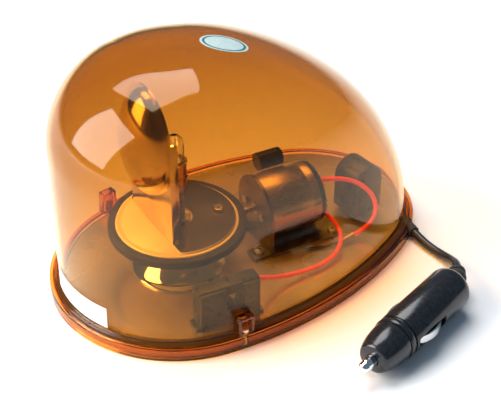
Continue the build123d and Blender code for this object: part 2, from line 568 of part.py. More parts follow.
def make_plug():
    """Accessory plug: relief, hollow body, nose, sprung tip, fuse, spring and side contacts."""
    end = PLUG_BODY_L
    cavity_r = PLUG_R - PLUG_WALL
    body = bar(PLUG_R, 0, 0, end)
    rear = body.faces().sort_by(Axis.X)[0]
    body = fillet(rear.edges(), 4.5)
    body -= bar(PLUG_R + 1, PLUG_R - 0.8, end - 3, end - 1.6)
    body -= bar(cavity_r, 0, 6, end + 1) + bar(3.3, 0, -1, 7)
    for side in (-1, 1):
        slot = block(CONTACT_X - 11, CONTACT_X + 11, 0, 15, -CONTACT_W / 2 - 0.3, CONTACT_W / 2 + 0.3)
        body -= Rot(0 if side > 0 else 180, 0, 0) * slot
    save("plug_body", plug * body)

    nose_r = PLUG_R - 0.5
    inner = end + NOSE_L - 5.5
    outline = [(0, end), (nose_r, end), (nose_r - 0.6, end + 8), (NOSE_END_R, end + NOSE_L - 1.5),
               (NOSE_END_R - 1.5, end + NOSE_L), (0, end + NOSE_L)]
    nose = Rot(0, 90, 0) * lathe(outline) + bar(cavity_r - 0.1, 0, end - 4, end)
    nose -= bar(6.6, 0, end - 5, inner) + bar(TIP_R + RUN_CLEAR, 0, inner - 1, end + NOSE_L + 1)
    nose -= block(end + 2, end + 6, -2, 2, 6, 12)
    save("plug_nose_cap", plug * nose)

    flange_end = inner - RUN_CLEAR
    tip_end = end + NOSE_L + TIP_OUT
    tip = bar(5.6, 0, flange_end - 2.2, flange_end) + bar(TIP_R, 0, flange_end - 1, tip_end - TIP_R)
    tip += Pos(tip_end - TIP_R, 0, 0) * Sphere(TIP_R)
    save("plug_tip", plug * tip)

    fuse_end = flange_end - 2.2
    save("plug_fuse", plug * bar(FUSE_R - 0.25, 0, fuse_end - FUSE_L + 5, fuse_end - 5))
    caps = [bar(FUSE_R, 0, fuse_end - 5, fuse_end), bar(FUSE_R, 0, fuse_end - FUSE_L, fuse_end - FUSE_L + 5)]
    save("fuse_caps", [plug * piece for piece in caps])

    spring_end = fuse_end - FUSE_L - TIP_TRAVEL - 0.2
    helix = Helix(pitch=2.6, height=spring_end - 0.8 - 9.0, radius=3.6)
    coil = sweep(Plane(origin=helix @ 0, z_dir=helix % 0) * Circle(0.4), path=helix)
    save("tip_spring", plug * Pos(9.0, 0, 0) * Rot(0, 90, 0) * coil)

    knuckle = Vector(*(plug * Pos(-6.6, 0, 0)).position)
    start = Vector(*CORD_ROUTE[-1])
    reach = (knuckle - start).length
    cord_end = start - Vector(*CORD_ROUTE[-2])
    neck = Plane(origin=start, z_dir=cord_end) * lathe(
        [(0, 0), (4.2, 0), (4.2, 2.2), (3.5, 2.2), (3.5, 3.2), (4.2, 3.2), (4.2, 4.8), (3.5, 4.8),
         (3.5, 5.8), (4.2, 5.8), (4.2, reach), (0, reach)])
    joint = Plane(origin=start + cord_end.normalized() * reach, z_dir=cord_end) * Sphere(4.7)
    relief = neck + joint + plug * (bar(3.2, 0, -4.4, 6.5) + bar(4.6, 0, 6.0, 7.5))
    save("plug_strain_relief", relief)

    deep = PLUG_R - 1.9
    rise = PLUG_R + CONTACT_OUT - deep
    bow_r = (CONTACT_HALF_L ** 2 + rise ** 2) / (2 * rise)
    for side, name in ((1, "side_contact_left"), (-1, "side_contact_right")):
        ring = Pos(CONTACT_X, deep + rise - bow_r, 0) * tube(bow_r, bow_r - CONTACT_T, -CONTACT_W / 2,
                                                             CONTACT_W / 2)
        strip = ring & block(CONTACT_X - CONTACT_HALF_L, CONTACT_X + CONTACT_HALF_L, deep - 1, 20, -9, 9)
        save(name, plug * Rot(0 if side > 0 else 180, 0, 0) * strip)


def make_labels(outer):
    """Oval sticker on top of the dome and the plain plate low on its front wall."""
    column = Pos(-10.5, -4.5, 110) * Rot(0, 0, -36.8) * extrude(Ellipse(11, 8.5), 30)
    skin = lens_body(WALL_INSET - 0.2, FLANGE_TOP, LENS_TOP + 0.2)
    save("dome_sticker", (skin & column) - lens_body(WALL_INSET - 0.03, FLANGE_TOP, LENS_TOP + 0.03))
    radius = FRONT_R - WALL_INSET
    band = tube(radius + 0.3, radius + 0.1, 9.5, 21.0)
    wedge = extrude(make_face(Polyline((0, 0), (-95, 32), (-95, -38), close=True)), 60)
    save("rating_label", rotor_axis * (band & wedge))


def main():
    os.makedirs("parts", exist_ok=True)
    outer = lens_body(WALL_INSET, flange_under, LENS_TOP)
    save("lens_dome", make_lens(outer))
    save("lens_screws", make_lens_screws())
    save("base_pan", make_base())
    save("base_gasket", make_gasket())
    make_magnet_foot()
    save("pedestal", rotor_axis * make_pedestal())
    save("spindle", rotor_axis * make_spindle())
    save("thrust_washer", rotor_axis * tube(HUB_R, SPINDLE_R + 0.1, CUP_TOP, CUP_TOP + WASHER_T))
    clip = tube(6.6, SPINDLE_R, DISC_TOP + 1.2, DISC_TOP + 2.0) - block(0, 8, -2, 2, 30, 40)
    save("retaining_clip", rotor_axis * clip)
    make_rotor()
    save("reflector", make_reflector())
    seat = DISC_TOP + SHEET
    save("reflector_screws", [screw_at(beam * Pos(x, y, 0), seat, 2.6) for x, y in FOOT_SCREWS])
    make_lamp()
    save("motor_bracket", make_bracket())
    floor_seat = DECK_TOP + BRACKET_T
    save("bracket_screws", [screw_at(motor_floor * Pos(x, y, 0), floor_seat, 3.5)
                            for x, y in bracket_screw_places()])
    make_motor()
    make_capacitor()
    make_terminal_block()
    save("cord_entry_cover", make_cord_cover())
    make_wires()
    make_cord_set()
    make_plug()
    make_labels(outer)


main()
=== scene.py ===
import bpy
import math
from mathutils import Matrix, Vector


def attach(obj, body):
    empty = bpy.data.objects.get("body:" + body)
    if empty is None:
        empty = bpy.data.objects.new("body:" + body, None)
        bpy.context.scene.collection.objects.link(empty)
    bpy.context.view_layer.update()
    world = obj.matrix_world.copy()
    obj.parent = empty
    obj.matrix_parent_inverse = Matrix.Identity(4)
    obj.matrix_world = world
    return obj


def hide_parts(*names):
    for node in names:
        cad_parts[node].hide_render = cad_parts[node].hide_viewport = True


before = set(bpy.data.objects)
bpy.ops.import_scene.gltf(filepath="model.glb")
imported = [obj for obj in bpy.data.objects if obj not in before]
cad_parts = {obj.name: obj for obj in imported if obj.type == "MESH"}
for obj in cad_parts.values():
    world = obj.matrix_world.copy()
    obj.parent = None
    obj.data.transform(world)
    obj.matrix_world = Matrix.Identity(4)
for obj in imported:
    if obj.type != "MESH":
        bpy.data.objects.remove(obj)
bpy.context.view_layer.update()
MM = 0.001


# ---- Camera ----
# The whole beacon seen from above its front corner through a long lens, with the plug lying
# at the lower right.
bpy.ops.object.select_all(action="DESELECT")
eye = Vector((-0.3292, -0.4504, 0.4356))
look = Vector((0.4846, 0.6478, -0.5878))
camera = bpy.data.objects.new("camera", bpy.data.cameras.new("camera"))
camera.data.lens = 99.9
camera.data.sensor_width = 36.0
camera.data.clip_start = 0.01
camera.location = eye
camera.rotation_euler = look.to_track_quat("-Z", "Y").to_euler()
bpy.context.scene.collection.objects.link(camera)
bpy.context.scene.camera = camera


# ---- Supply cord ----
# Short round flex in a soft black jacket. It comes out of the rim, lies along the ground and
# rises into the plug's rubber strain relief.
CORD_R = 2.2
CORD_ROUTE = [(77.3, -46.8, 3.5), (76.2, -56.5, 2.5), (76.7, -66.5, 2.4),
              (75.8, -76.2, 4.6), (71.8, -83.9, 8.6), (66.8, -88.8, 9.6)]


def bare_material(name, colour, roughness, metallic=0.0):
    """New material on one principled shader, in one colour."""
    material = bpy.data.materials.new(name)
    material.use_nodes = True
    shader = material.node_tree.nodes["Principled BSDF"]
    shader.inputs["Base Color"].default_value = (*colour, 1)
    shader.inputs["Roughness"].default_value = roughness
    shader.inputs["Metallic"].default_value = metallic
    return material


def add_grain(material, scale, colours, rough, bump, stretch=(1, 1, 1)):
    """Fine variation over the surface: colour between two tones, roughness range and bump height."""
    tree = material.node_tree
    shader = tree.nodes["Principled BSDF"]
    place = tree.nodes.new("ShaderNodeTexCoord")
    mapping = tree.nodes.new("ShaderNodeMapping")
    mapping.inputs["Scale"].default_value = stretch
    noise = tree.nodes.new("ShaderNodeTexNoise")
    noise.inputs["Scale"].default_value = scale
    noise.inputs["Detail"].default_value = 4
    tree.links.new(place.outputs["Object"], mapping.inputs["Vector"])
    tree.links.new(mapping.outputs["Vector"], noise.inputs["Vector"])
    tone = tree.nodes.new("ShaderNodeValToRGB")
    tone.color_ramp.elements[0].position = 0.3
    tone.color_ramp.elements[1].position = 0.7
    tone.color_ramp.elements[0].color = (*colours[0], 1)
    tone.color_ramp.elements[1].color = (*colours[1], 1)
    tree.links.new(noise.outputs["Fac"], tone.inputs["Fac"])
    tree.links.new(tone.outputs["Color"], shader.inputs["Base Color"])
    spread = tree.nodes.new("ShaderNodeMapRange")
    spread.inputs["To Min"].default_value = rough[0]
    spread.inputs["To Max"].default_value = rough[1]
    tree.links.new(noise.outputs["Fac"], spread.inputs["Value"])
    tree.links.new(spread.outputs["Result"], shader.inputs["Roughness"])
    if bump:
        relief = tree.nodes.new("ShaderNodeBump")
        relief.inputs["Strength"].default_value = 0.4
        relief.inputs["Distance"].default_value = bump * MM
        tree.links.new(noise.outputs["Fac"], relief.inputs["Height"])
        tree.links.new(relief.outputs["Normal"], shader.inputs["Normal"])
    return material


def wire_curve(name, points, radius, material):
    """Round wire on one smooth NURBS line through given control points, in millimetres."""
    curve = bpy.data.curves.new(name, "CURVE")
    curve.dimensions = "3D"
    curve.bevel_depth = radius * MM
    curve.bevel_resolution = 6
    curve.resolution_u = 24
    curve.use_fill_caps = True
    spline = curve.splines.new("NURBS")
    spline.points.add(len(points) - 1)
    for place, point in zip(spline.points, points):
        place.co = (point[0] * MM, point[1] * MM, point[2] * MM, 1)
    spline.order_u = 3
    spline.use_endpoint_u = True
    wire = bpy.data.objects.new(name, curve)
    bpy.context.scene.collection.objects.link(wire)
    wire.data.materials.append(material)
    return wire


jacket = add_grain(bare_material("cord_jacket", (0.012, 0.012, 0.014), 0.4), 900,
                   ((0.006, 0.006, 0.008), (0.02, 0.02, 0.024)), (0.28, 0.45), 0.05)
cord = wire_curve("supply_cord", CORD_ROUTE, CORD_R, jacket)
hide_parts("cord")
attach(cord, "base")


# ---- Studio ----
# Plain pale floor, faint blue surroundings, and two soft boxes that show on the dome. The key
# box stands at the left of the view, and the top box hangs high beyond the beacon.
bpy.ops.mesh.primitive_plane_add(size=6, location=(0, 0, -0.0002))
floor = bpy.context.object
floor.name = "studio_floor"
paper = bare_material("studio_paper", (0.93, 0.93, 0.93), 0.9)
floor.data.materials.append(paper)
world = bpy.data.worlds.new("studio")
world.use_nodes = True
world.node_tree.nodes["Background"].inputs["Color"].default_value = (0.5, 0.7, 0.95, 1)
world.node_tree.nodes["Background"].inputs["Strength"].default_value = 0.25
bpy.context.scene.world = world
bpy.context.scene.view_settings.view_transform = "Standard"


def soft_box(name, place, target, width, height, power):
    """Area light at a place, facing a target, in metres and watts."""
    light = bpy.data.lights.new(name, "AREA")
    light.shape = "RECTANGLE"
    light.size = width
    light.size_y = height
    light.energy = power
    box = bpy.data.objects.new(name, light)
    box.location = place
    box.rotation_euler = (Vector(target) - Vector(place)).to_track_quat("-Z", "Y").to_euler()
    bpy.context.scene.collection.objects.link(box)


soft_box("key_box", (-1.28, 0.6, 0.77), (-0.08, 0, 0.1), 1.12, 1.27, 44)
soft_box("top_box", (0.1, 0.62, 1.46), (-0.05, 0, 0.12), 1.15, 1.0, 24)


# ---- Lens ----
# One amber acrylic moulding: egg-shaped dome with a beaded flange and a short skirt.
# It sits over the base tray, and two screws hold it, down through its lugs into the base.
FRONT_R, TAIL_R, GAP, FLANK_R, AXIS_X = 63.5, 54.5, 82.0, 188.0, -36.5
WALL_INSET, LENS_WALL, LENS_TOP, WALL_FOOT = 4.8, 2.2, 128.0, 10.0
FRONT_CURVE, TAIL_CURVE, SIDE_CURVE = (81.5, 2.04), (5.9, 1.86), (9.5, 3.2)
flank_x = ((FLANK_R - FRONT_R) ** 2 - (FLANK_R - TAIL_R) ** 2 + GAP ** 2) / (2 * GAP)
flank_y = math.sqrt((FLANK_R - FRONT_R) ** 2 - flank_x ** 2)
front_turn = math.pi - math.atan2(flank_y, flank_x)
tail_turn = math.atan2(flank_y, GAP - flank_x)


def outline_at(share, inset):
    """Point of the egg outline at this share of its way round, from the tail, and from the axis."""
    side = 1 if share % 1 <= 0.5 else -1
    half = min(share % 1, 1 - share % 1)
    runs = [TAIL_R * tail_turn, FLANK_R * (front_turn - tail_turn), FRONT_R * (math.pi - front_turn)]
    way = half * 2 * sum(runs)
    if way <= runs[0]:
        angle, centre, radius = way / TAIL_R, (GAP, 0), TAIL_R
    elif way <= runs[0] + runs[1]:
        angle, centre, radius = tail_turn + (way - runs[0]) / FLANK_R, (flank_x, -flank_y), FLANK_R
    else:
        angle, centre, radius = front_turn + (way - runs[0] - runs[1]) / FRONT_R, (0, 0), FRONT_R
    x = centre[0] + (radius - inset) * math.cos(angle)
    y = centre[1] + (radius - inset) * math.sin(angle)
    return x, side * y


def lean(z, curve, top):
    """How far out the wall still stands at this height, from 1 at its foot to 0 at the top."""
    start, power = curve
    if z <= start:
        return 1.0
    return max(0.0, 1 - ((z - start) / (top - start)) ** power) ** (1 / power)


def dome_point(share, z, inset, top):
    """Point on the dome wall at this share round and height, in metres."""
    x, y = outline_at(share, inset)
    full_front, full_tail = -(FRONT_R - inset), GAP + TAIL_R - inset
    front, tail = full_front * lean(z, FRONT_CURVE, top), full_tail * lean(z, TAIL_CURVE, top)
    along = (x - full_front) / (full_tail - full_front)
    return Vector((AXIS_X + front + along * (tail - front), y * lean(z, SIDE_CURVE, top), z)) * MM


def shaped_grid(name, columns, rows, place):
    """Sheet made from a grid primitive whose corners are moved to place(across, up)."""
    bpy.ops.object.select_all(action="DESELECT")
    bpy.ops.mesh.primitive_grid_add(x_subdivisions=columns, y_subdivisions=rows, size=1)
    sheet = bpy.context.object
    sheet.name = name
    for corner in sheet.data.vertices:
        corner.co = place(round((corner.co.x + 0.5) * columns) / columns,
                          round((corner.co.y + 0.5) * rows) / rows)
    bpy.ops.object.mode_set(mode="EDIT")
    bpy.ops.mesh.select_all(action="SELECT")
    bpy.ops.mesh.remove_doubles(threshold=0.00002)
    bpy.ops.mesh.normals_make_consistent(inside=False)
    bpy.ops.object.mode_set(mode="OBJECT")
    return sheet


def select_only(*pieces):
    """Select these pieces and nothing else, the last one active."""
    bpy.ops.object.select_all(action="DESELECT")
    for piece in pieces:
        piece.select_set(True)
    bpy.context.view_layer.objects.active = pieces[-1]


def give_modifier(piece, kind, **settings):
    """Add one modifier with these settings and apply it."""
    select_only(piece)
    modifier = piece.modifiers.new(kind.lower(), kind)
    for key, value in settings.items():
        setattr(modifier, key, value)
    bpy.ops.object.modifier_apply(modifier=modifier.name)


def smooth(piece, degrees=35):
    """Shade smooth, with an edge kept sharp where it turns by more than this."""
    select_only(piece)
    bpy.ops.object.shade_smooth_by_angle(angle=math.radians(degrees))


# inset and height of the moulding's outer face, from the skirt's foot to the root of the wall
RIM_PROFILE = [(0.0, 0.7), (0.0, 2.0), (0.0, 4.0), (0.0, 5.8), (0.15, 6.7), (0.6, 7.3), (1.2, 7.55),
               (1.9, 7.6), (2.5, 7.6), (2.7, 8.0), (3.1, 8.25), (3.5, 8.0), (3.7, 7.7), (4.0, 7.75),
               (4.4, 8.1), (4.7, 8.9)]
WALL_STEPS, ROUND_STEPS = 64, 192


def lens_surface(across, up):
    """Outer face of the moulding: the rim's profile first, then the wall up to the crown."""
    steps = len(RIM_PROFILE) + WALL_STEPS
    row = round(up * steps)
    if row < len(RIM_PROFILE):
        inset, z = RIM_PROFILE[row]
        x, y = outline_at(across, inset)
        return Vector((AXIS_X + x, y, z)) * MM
    turn = (row - len(RIM_PROFILE)) / WALL_STEPS * math.pi / 2
    z = WALL_FOOT + (LENS_TOP - WALL_FOOT) * math.sin(turn)
    return dome_point(across, z, WALL_INSET, LENS_TOP)


lens = shaped_grid("amber_dome", ROUND_STEPS, len(RIM_PROFILE) + WALL_STEPS, lens_surface)
give_modifier(lens, "SOLIDIFY", thickness=LENS_WALL * MM, offset=-1)
smooth(lens, 50)


def clear_material(name, tint, shade, roughness=0.02, ior=1.49):
    """Clear moulding: real glass to the eye, and tinted clear to the rays from lamps."""
    material = bare_material(name, tint, roughness)
    tree = material.node_tree
    shader = tree.nodes["Principled BSDF"]
    shader.inputs["Transmission Weight"].default_value = 1.0
    shader.inputs["IOR"].default_value = ior
    through = tree.nodes.new("ShaderNodeBsdfTransparent")
    through.inputs["Color"].default_value = (*shade, 1)
    path = tree.nodes.new("ShaderNodeLightPath")
    pick = tree.nodes.new("ShaderNodeMixShader")
    tree.links.new(path.outputs["Is Shadow Ray"], pick.inputs["Fac"])
    tree.links.new(shader.outputs["BSDF"], pick.inputs[1])
    tree.links.new(through.outputs["BSDF"], pick.inputs[2])
    tree.links.new(pick.outputs["Shader"], tree.nodes["Material Output"].inputs["Surface"])
    return material


def tint_and_painted_light_by_height(material, top, *stops):
    """Colour the moulding by height, its own tint and painted light together: each stop is a height in
    millimetres and a colour.
    """
    tree = material.node_tree
    place = tree.nodes.new("ShaderNodeTexCoord")
    split = tree.nodes.new("ShaderNodeSeparateXYZ")
    share = tree.nodes.new("ShaderNodeMapRange")
    share.inputs["From Max"].default_value = top * MM
    ramp = tree.nodes.new("ShaderNodeValToRGB")
    points = ramp.color_ramp.elements
    points[0].position = stops[0][0] / top
    points[0].color = (*stops[0][1], 1)
    points[1].position = stops[-1][0] / top
    points[1].color = (*stops[-1][1], 1)
    for height, tint in stops[1:-1]:
        points.new(height / top).color = (*tint, 1)
    tree.links.new(place.outputs["Object"], split.inputs["Vector"])
    tree.links.new(split.outputs["Z"], share.inputs["Value"])
    tree.links.new(share.outputs["Result"], ramp.inputs["Fac"])
    tree.links.new(ramp.outputs["Color"], tree.nodes["Principled BSDF"].inputs["Base Color"])


amber = clear_material("amber_acrylic", (0.62, 0.35, 0.1), (0.97, 0.8, 0.42), 0.02, 1.34)
# Painted reflection: the pale band low on the wall is light painted into the base colour, over the
# amber that deepens towards the crown; the flange is brighter orange.
tint_and_painted_light_by_height(amber, LENS_TOP, (1.5, (0.72, 0.3, 0.05)), (6.5, (0.95, 0.5, 0.14)),
               (10, (0.84, 0.58, 0.28)), (35, (0.76, 0.5, 0.2)), (90, (0.58, 0.3, 0.06)))
lens.data.materials.append(amber)
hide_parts("lens_dome")
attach(lens, "base")


# ---- Lens lugs ----
# Small amber acrylic block standing on the flange at each side, with a square pocket in its
# outer face. One lens screw stands in each and goes down into the base.
LUG_ANGLES = (-94.3, 94.3)
LUG_RADIUS, LUG_LOW, LUG_HIGH = 60.9, (-2.9, -4.4, 7.7), (2.3, 4.4, 18.0)
POCKET_MARGIN, POCKET_DEPTH, LUG_EDGE = 1.9, 3.6, 0.7
rotor_place = Matrix.Translation((AXIS_X * MM, 0, 0))


def boxed(name, low, high, bevel):
    """Block between two corners in millimetres, with rounded edges."""
    bpy.ops.object.select_all(action="DESELECT")
    middle = [(a + b) / 2 * MM for a, b in zip(low, high)]
    size = [(b - a) * MM for a, b in zip(low, high)]
    bpy.ops.mesh.primitive_cube_add(size=1, location=middle, scale=size)
    block = bpy.context.object
    block.name = name
    bpy.ops.object.transform_apply(location=True, rotation=True, scale=True)
    if bevel:
        give_modifier(block, "BEVEL", width=bevel * MM, segments=3)
    return block


def pocket_face(piece, direction, margin, depth):
    """Inset the face that looks along direction, and push it in to make a pocket."""
    select_only(piece)
    bpy.ops.object.mode_set(mode="EDIT")
    bpy.ops.mesh.select_all(action="DESELECT")
    bpy.ops.object.mode_set(mode="OBJECT")
    best = max(piece.data.polygons, key=lambda f: f.normal.dot(direction) * f.area)
    best.select = True
    bpy.ops.object.mode_set(mode="EDIT")
    bpy.ops.mesh.select_mode(type="FACE")
    bpy.ops.mesh.inset(thickness=margin * MM)
    bpy.ops.mesh.extrude_region_move(
        TRANSFORM_OT_translate={"value": [-part * depth * MM for part in direction]})
    bpy.ops.object.mode_set(mode="OBJECT")


lug_glass = clear_material("amber_lug", (0.9, 0.3, 0.05), (0.93, 0.6, 0.25), 0.04)
for index, angle in enumerate(LUG_ANGLES):
    lug_place = rotor_place @ Matrix.Rotation(math.radians(angle), 4, "Z") @ Matrix.Translation(
        (LUG_RADIUS * MM, 0, 0))
    lug = boxed(f"lens_lug_{index}", LUG_LOW, LUG_HIGH, 0)
    pocket_face(lug, Vector((1, 0, 0)), POCKET_MARGIN, POCKET_DEPTH)
    give_modifier(lug, "BEVEL", width=LUG_EDGE * MM, segments=3)
    lug.data.transform(lug_place)
    smooth(lug)
    lug.data.materials.append(lug_glass)
    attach(lug, "base")


# ---- Labels ----
# Oval foil sticker near the top of the dome and a plain white vinyl plate low on its front wall.
# Both are thin, stay as the CAD has them, and follow the dome's outer face.
def label_material(name, centre, radii, ring):
    """Printed label: pale foil with a darker rule near its edge."""
    label = add_grain(bare_material(name, (0.5, 0.62, 0.6), 0.35), 300,
                      ((0.44, 0.56, 0.54), (0.54, 0.66, 0.64)), (0.3, 0.42), 0)
    tree = label.node_tree
    place = tree.nodes.new("ShaderNodeTexCoord")
    mapping = tree.nodes.new("ShaderNodeMapping")
    mapping.vector_type = "TEXTURE"
    mapping.inputs["Location"].default_value = [value * MM for value in centre]
    mapping.inputs["Rotation"].default_value = (0, 0, math.radians(-36.8))
    mapping.inputs["Scale"].default_value = [value * MM for value in radii]
    length = tree.nodes.new("ShaderNodeVectorMath")
    length.operation = "LENGTH"
    band = tree.nodes.new("ShaderNodeValToRGB")
    band.color_ramp.interpolation = "CONSTANT"
    stops = band.color_ramp.elements
    stops[0].color = (0, 0, 0, 1)
    stops[1].position = ring[0]
    stops[1].color = (1, 1, 1, 1)
    stops.new(ring[1]).color = (0, 0, 0, 1)
    mix = tree.nodes.new("ShaderNodeMix")
    mix.data_type = "RGBA"
    mix.inputs["B"].default_value = (0.03, 0.14, 0.13, 1)
    shader = tree.nodes["Principled BSDF"]
    tree.links.new(place.outputs["Object"], mapping.inputs["Vector"])
    tree.links.new(mapping.outputs["Vector"], length.inputs[0])
    tree.links.new(length.outputs["Value"], band.inputs["Fac"])
    tree.links.new(band.outputs["Color"], mix.inputs["Factor"])
    tree.links.new(shader.inputs["Base Color"].links[0].from_socket, mix.inputs["A"])
    tree.links.new(mix.outputs["Result"], shader.inputs["Base Color"])
    return label


def finish_nodes(material, *names):
    """Give carried-over CAD pieces one material."""
    for name in names:
        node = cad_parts[name]
        node.data.materials.clear()
        node.data.materials.append(material)


finish_nodes(label_material("sticker_foil", (-10.5, -4.5, 0), (11, 8.5, 1e6), (0.80, 0.90)),
             "dome_sticker")
finish_nodes(add_grain(bare_material("label_vinyl", (0.86, 0.87, 0.86), 0.4), 350,
                       ((0.82, 0.83, 0.82), (0.9, 0.9, 0.9)), (0.32, 0.45), 0.02), "rating_label")


# ---- Base ----
# Plated steel tray with a raised deck and a black rubber gasket. Below it is the foot: a ferrite
# magnet with its yoke, bolt and rubber pad. The beacon's zinc-plated CAD pieces are finished here.
plated = add_grain(bare_material("plated_steel", (0.5, 0.42, 0.28), 0.26, 0.75), 22,
                   ((0.4, 0.33, 0.2), (0.62, 0.52, 0.34)), (0.18, 0.34), 0.02)
finish_nodes(plated, "base_pan")
rubber = add_grain(bare_material("black_rubber", (0.02, 0.02, 0.02), 0.7), 700,
                   ((0.012, 0.012, 0.013), (0.035, 0.035, 0.036)), (0.55, 0.8), 0.06)
finish_nodes(rubber, "base_gasket", "magnet_pad", "cord_grommet", "plug_strain_relief")
ferrite = add_grain(bare_material("ferrite", (0.07, 0.07, 0.075), 0.6), 500,
                    ((0.05, 0.05, 0.055), (0.1, 0.1, 0.105)), (0.45, 0.7), 0.05)
finish_nodes(ferrite, "magnet", "motor_magnets")
zinc = add_grain(bare_material("zinc_plate", (0.65, 0.65, 0.63), 0.25, 1.0), 160,
                 ((0.55, 0.55, 0.53), (0.74, 0.74, 0.72)), (0.18, 0.36), 0.02)
finish_nodes(zinc, "magnet_yoke", "magnet_bolt", "lens_screws", "retaining_clip",
             "bracket_screws", "motor_screws", "reflector_screws", "capacitor_strap",
             "spindle", "motor_shaft", "tip_spring")


# ---- Pedestal ----
# Cup spun from sheet metal and polished. It stands on the deck and carries the spindle and
# the rotor.
def turned(name, rings, place, segments=72, sharp=35):
    """Round piece built ring by ring from (radius, height) pairs in millimetres, then set in place."""
    bpy.ops.object.select_all(action="DESELECT")
    bpy.ops.mesh.primitive_circle_add(vertices=segments, radius=max(rings[0][0], 0.005) * MM)
    piece = bpy.context.object
    piece.name = name
    bpy.ops.object.mode_set(mode="EDIT")
    bpy.ops.mesh.select_mode(type="VERT")
    bpy.ops.mesh.select_all(action="SELECT")
    bpy.ops.transform.translate(value=(0, 0, rings[0][1] * MM))
    for (radius, z), (next_radius, next_z) in zip(rings, rings[1:]):
        bpy.ops.mesh.extrude_region_move(TRANSFORM_OT_translate={"value": (0, 0, (next_z - z) * MM)})
        grow = max(next_radius, 0.005) / max(radius, 0.005)
        bpy.ops.transform.resize(value=(grow, grow, 1), center_override=(0, 0, next_z * MM))
    bpy.ops.mesh.select_all(action="SELECT")
    bpy.ops.mesh.remove_doubles(threshold=0.00001)
    bpy.ops.mesh.normals_make_consistent(inside=False)
    bpy.ops.object.mode_set(mode="OBJECT")
    piece.data.transform(place)
    smooth(piece, sharp)
    return piece


def finish_piece(piece, material, body, slot, *replaced):
    """Give a piece its material and body, and the CAD nodes it stands for; the slot argument is not
    used.
    """
    piece.data.materials.clear()
    piece.data.materials.append(material)
    if replaced:
        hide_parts(*replaced)
    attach(piece, body)


chrome = add_grain(bare_material("polished_chrome", (0.82, 0.82, 0.82), 0.08, 1.0), 60,
                   ((0.74, 0.74, 0.74), (0.86, 0.86, 0.86)), (0.05, 0.13), 0)
disc_plate = add_grain(bare_material("disc_plate", (0.95, 0.86, 0.6), 0.34, 0.2), 60,
                       ((0.9, 0.82, 0.56), (0.98, 0.9, 0.66)), (0.28, 0.4), 0)
cup = turned("pedestal_cup", [
    (21.2, 8.0), (22.5, 8.0), (22.5, 8.9), (22.0, 9.3), (21.2, 9.6), (20.2, 10.3), (18.8, 11.7),
    (17.2, 13.8), (15.6, 16.2), (14.0, 18.6), (12.6, 20.9), (11.8, 22.8), (11.5, 24.2),
    (11.5, 25.6), (11.1, 26.2), (10.5, 26.4), (4.1, 26.4), (4.1, 24.4), (10.2, 24.4), (10.3, 22.8),
    (12.4, 18.6), (15.6, 13.9), (18.4, 10.4), (21.2, 8.0)], rotor_place, 96)
finish_piece(cup, chrome, "base", "bright_metal", "pedestal")


# ---- Rotor ----
# Pressed disc with a rolled rim, on a brass bush round the spindle and a nylon washer below.
# The motor's brass roller drives it by the black rubber tyre round its rim.
hub_foot = 27.25
disc = turned("rotor_plate", [
    (6.05, hub_foot), (9.0, hub_foot), (9.0, 33.7), (28.0, 33.7), (28.0, 30.9), (28.3, 30.7),
    (29.7, 30.7), (29.75, 35.0), (29.5, 35.4), (29.0, 35.6), (28.4, 35.5), (27.6, 35.1),
    (26.4, 35.1), (25.8, 35.5), (6.05, 35.5), (6.05, hub_foot)], rotor_place, 128)
finish_piece(disc, disc_plate, "rotor", "bright_metal", "rotor_disc")
tyre = turned("rubber_tyre", [
    (29.8, 30.75), (32.8, 30.75), (33.3, 31.0), (33.5, 31.6), (33.5, 34.2), (33.3, 34.7),
    (32.8, 35.0), (30.6, 35.05), (29.8, 34.8), (29.8, 30.75)], rotor_place, 128)
finish_piece(tyre, rubber, "rotor", "rubber", "drive_tyre")
brass = add_grain(bare_material("brass", (0.8, 0.56, 0.2), 0.25, 1.0), 200,
                  ((0.66, 0.43, 0.13), (0.86, 0.62, 0.26)), (0.18, 0.34), 0.02)
finish_nodes(brass, "rotor_bush", "lamp_contact", "drive_roller", "motor_commutator",
             "terminal_screws", "crimp_ferrule")
nylon = add_grain(bare_material("nylon", (0.82, 0.81, 0.76), 0.45), 300,
                  ((0.76, 0.75, 0.7), (0.85, 0.84, 0.8)), (0.4, 0.55), 0.02)
finish_nodes(nylon, "thrust_washer")


# ---- Reflector ----
# Polished sheet, folded up from its half-round foot: an arch-topped plate with a pressed oval
# bowl. Two screws hold the foot to the disc, and it turns with the disc.
BEAM_ANGLE = -5.3
NEAR_FLANGE = ((-11.6, -17.8, 38.0), (-7.6, -17.0, 90.0))
FAR_FLANGE = ((-11.6, 21.9, 38.0), (-7.6, 22.7, 90.0))
beam_place = rotor_place @ Matrix.Rotation(math.radians(BEAM_ANGLE), 4, "Z")
PLATE_X, PLATE_SHIFT, PLATE_HALF, PLATE_TOP = -11.6, 2.5, 20.2, 111.0
BOWL_W, BOWL_H, BOWL_DEPTH, BOWL_Z = 18.2, 27.3, 12.5, 82.0
BOWL_ROWS, PLATE_ROWS, PLATE_FOOT = 26, 8, 36.4
MIRROR_T, FOOT_R, FOOT_HOLE_R, FOOT_BACK, FOOT_Z = 0.8, 28.0, 7.6, 12.0, 35.75


def plate_edge(turn):
    """Where the ray from the bowl's centre at this angle leaves the arch-topped plate."""
    way = Vector((math.cos(turn), math.sin(turn)))
    arch_z = PLATE_TOP - PLATE_HALF - BOWL_Z
    reach = []
    if way.y < 0:
        reach.append((PLATE_FOOT - BOWL_Z) / way.y)
    if abs(way.x) > 1e-6:
        reach.append(PLATE_HALF / abs(way.x))
    along = way.y * arch_z
    arc = along + math.sqrt(along ** 2 - arch_z ** 2 + PLATE_HALF ** 2)
    side = min(reach) if reach else 1e9
    if way.y * side > arch_z or not reach:
        return way * arc
    return way * side


